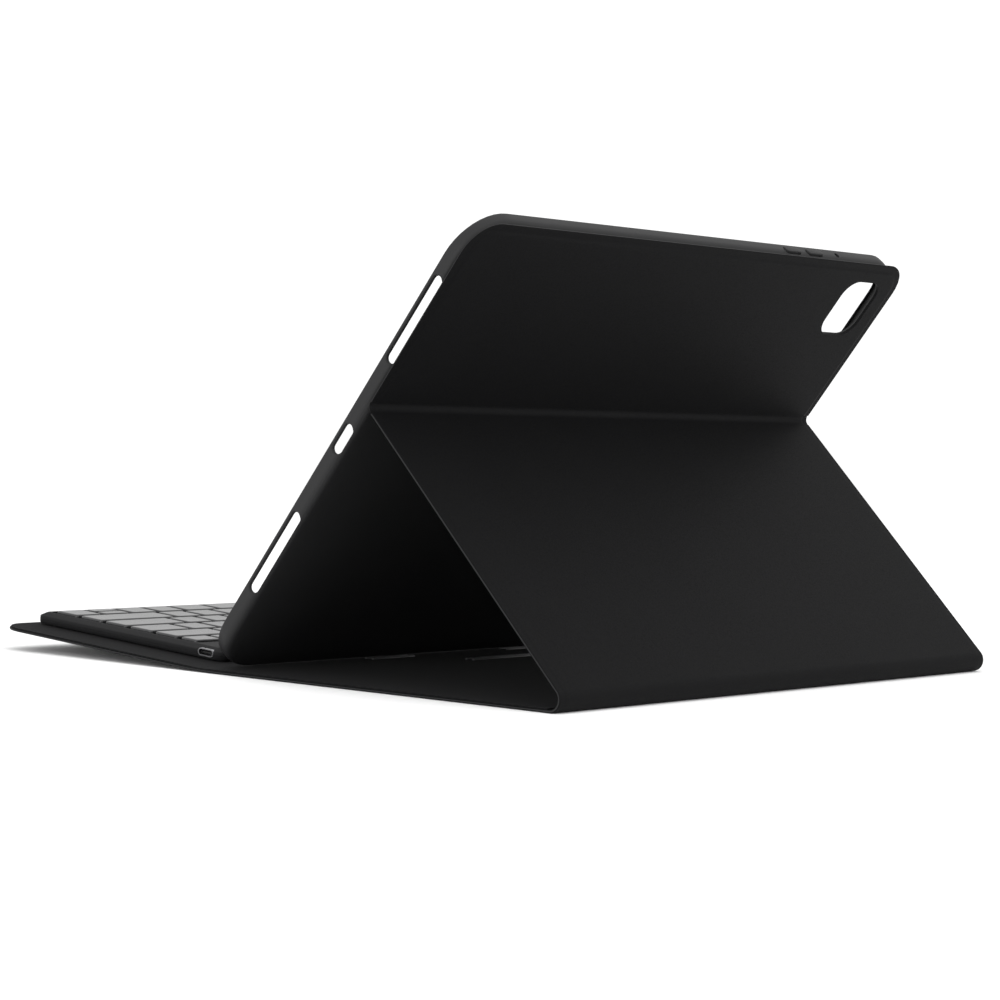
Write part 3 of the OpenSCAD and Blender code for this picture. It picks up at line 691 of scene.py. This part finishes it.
def key_shell(row, i, half):
    """One keycap: eased skirt, rounded top edge and a shallow dish."""
    before = sum(KEY_ROWS[row][:i])
    w = KEY_ROWS[row][i] * KEY_PITCH - KEY_GAP
    x = (before + KEY_ROWS[row][i] / 2 - KEY_COLUMNS / 2) * KEY_PITCH
    depth = TOP_PITCH if row == 0 else ROW_PITCH
    y = -ROWS_REAR - (TOP_PITCH / 2 if row == 0 else TOP_PITCH + (row - 0.5) * ROW_PITCH)
    d = depth - KEY_GAP
    if half:
        cap = (d - ARROW_GAP) / 2
        y += half * (d - cap) / 2
        d = cap
    return pillow(x, y, w, d, KEY_R, KEY_Z, KEY_Z + KEY_H, KEY_EDGE, KEY_LOW_EDGE, KEY_DISH, steps=4)


def build_keys():
    """The keycaps of each run, in one piece."""
    for node, row, first, last in KEY_RUNS:
        shells = [key_shell(row, i, HALF_KEYS.get(node, 0)) for i in range(first, last + 1)]
        keys = make(node + "_caps", *join_shells(shells), LEAF, KEYCAP)
        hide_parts(node)
        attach(keys, node + "_body")


def build_socket_tongue():
    """The flat tongue inside the charging socket."""
    tongue = pillow(KB_W / 2 - TONGUE_IN, -(KB_REAR + SOCKET_DROP), TONGUE_LEN, TONGUE_W, TONGUE_R,
                    TONGUE_LOW, TONGUE_HIGH, TONGUE_EDGE, steps=3)
    piece = make("socket_tongue", *tongue, LEAF, RUBBER)
    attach(piece, "keyboard")


def build_switch():
    """The power slider, with three ridges."""
    place = side_place(LEAF, -1, KB_W, -(KB_REAR + SWITCH_DROP) + SWITCH_TRAVEL / 2, SWITCH_Z)
    slider = shell([(stadium(SLIDER_LEN, SLIDER_W), SLIDER_LOW), (stadium(SLIDER_LEN, SLIDER_W), SLIDER_MID),
                    (stadium(SLIDER_LEN - SLIDER_EASE, SLIDER_W - SLIDER_EASE), SLIDER_TOP)])
    ridges = [shell([(round_rect(x, 0, RIDGE_T, RIDGE_W, RIDGE_R, 3), z) for z in RIDGE_ZS])
              for x in RIDGE_XS]
    piece = make("power_slider", *join_shells([slider] + ridges), place, SWITCH)
    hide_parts("power_switch")
    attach(piece, "switch")


# ---- base details ----

def build_ribs():
    """Low rounded ribs on the lining, in two groups."""
    shells = [pillow(x, y, length, RIB_W, RIB_R, BASE_T, BASE_T + RIB_H, RIB_EDGE, steps=5)
              for x, y, length in RIBS]
    ribs = make("ribs", *join_shells(shells), UPRIGHT, SILICONE)
    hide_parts("stop_ribs")
    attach(ribs, "base")


NODE_MATERIALS = {
    "base_lining": LINING, "stand_lining": LINING, "spine_board": BOARD, "base_board_rear": BOARD,
    "base_board_front": BOARD, "stand_board": BOARD, "upper_board": BOARD, "bond_layer": ADHESIVE,
    "foot_magnets": NICKEL, "keyboard_magnets": NICKEL, "foot_catch_plates": STEEL,
    "keyboard_catch_plates": STEEL, "keyboard_feet": RUBBER, "battery": FOIL, "control_board": CIRCUIT,
    "key_membrane": FILM, "key_domes": DOME, "charging_socket": SOCKET, "indicator_lights": WINDOW,
    "key_plate": CASE,
}


def paint_nodes():
    """Gives every node its material; those without an entry, which pieces replace, get leather."""
    for name, node in frame["nodes"].items():
        node.data.materials.clear()
        node.data.materials.append(NODE_MATERIALS.get(name, LEATHER))


# ---- studio: camera, floor, light ----

def build_camera():
    """Long lens at desk height, behind the case and to the user's right, rolled by a degree and a half."""
    yaw, pitch, roll = math.radians(VIEW_YAW), math.radians(VIEW_PITCH), math.radians(VIEW_ROLL)
    forward = Vector((-math.sin(yaw) * math.cos(pitch), -math.cos(yaw) * math.cos(pitch), math.sin(pitch)))
    right = forward.cross(Vector((0, 0, 1))).normalized()
    up = right.cross(forward)
    rolled_right = math.cos(roll) * right + math.sin(roll) * up
    rolled_up = math.cos(roll) * up - math.sin(roll) * right
    camera = bpy.data.cameras.new("camera")
    camera.sensor_width = VIEW_SENSOR
    camera.lens = VIEW_LENS
    camera.clip_end = 100
    holder = bpy.data.objects.new("camera", camera)
    bpy.context.scene.collection.objects.link(holder)
    place = Matrix((rolled_right, rolled_up, -forward)).transposed().to_4x4()
    place.translation = Vector((VIEW_RIGHT, HINGE.y + VIEW_BEHIND, VIEW_UP)) * MM
    holder.matrix_world = place
    bpy.context.scene.camera = holder


def build_floor():
    """A white floor, wide enough that its far edge isn't seen."""
    half = FLOOR_HALF
    mesh = bpy.data.meshes.new("floor")
    corners = [(-half, -half, 0), (half, -half, 0), (half, half, 0), (-half, half, 0)]
    mesh.from_pydata(corners, [], [(0, 1, 2, 3)])
    material = surface("floor_white", (0.93, 0.93, 0.93), 0.9, 4, 0.01, mottle=0.01, specular=0.0)
    mesh.materials.append(material)
    floor = bpy.data.objects.new("floor", mesh)
    bpy.context.scene.collection.objects.link(floor)


def area_light(name, place, target, size, power):
    """A soft light; place, target and size are in metres, power in watts."""
    light = bpy.data.lights.new(name, "AREA")
    light.shape = "RECTANGLE"
    light.size, light.size_y = size
    light.energy = power
    holder = bpy.data.objects.new(name, light)
    holder.location = place
    aim = Vector(target) - Vector(place)
    holder.rotation_euler = aim.to_track_quat("-Z", "Y").to_euler()
    bpy.context.scene.collection.objects.link(holder)


def build_studio():
    """White surroundings and four soft lights."""
    world = bpy.data.worlds.new("studio")
    world.use_nodes = True
    world.node_tree.nodes["Background"].inputs["Color"].default_value = (1, 1, 1, 1)
    world.node_tree.nodes["Background"].inputs["Strength"].default_value = WORLD_STRENGTH
    bpy.context.scene.world = world
    bpy.context.scene.view_settings.view_transform = "Standard"
    area_light("overhead", (0.2, 0.1, 1.6), (0, 0, 0), (1.6, 1.6), 6)
    area_light("side", (1.5, 0.2, 0.6), (0.1, 0, 0.08), (0.8, 0.6), 3)
    area_light("low_fill", (1.3, 0.0, 0.14), (0, 0.05, 0.06), (0.7, 0.25), 3)
    area_light("rear", (0.3, 1.7, 1.0), (0, 0.1, 0.06), (1.0, 0.6), 9)


build_camera()
build_floor()
build_studio()
paint_nodes()
build_lower_cover()
build_upper_cover()
build_tray()
build_keyboard_case()
build_keys()
build_socket_tongue()
build_switch()
build_ribs()
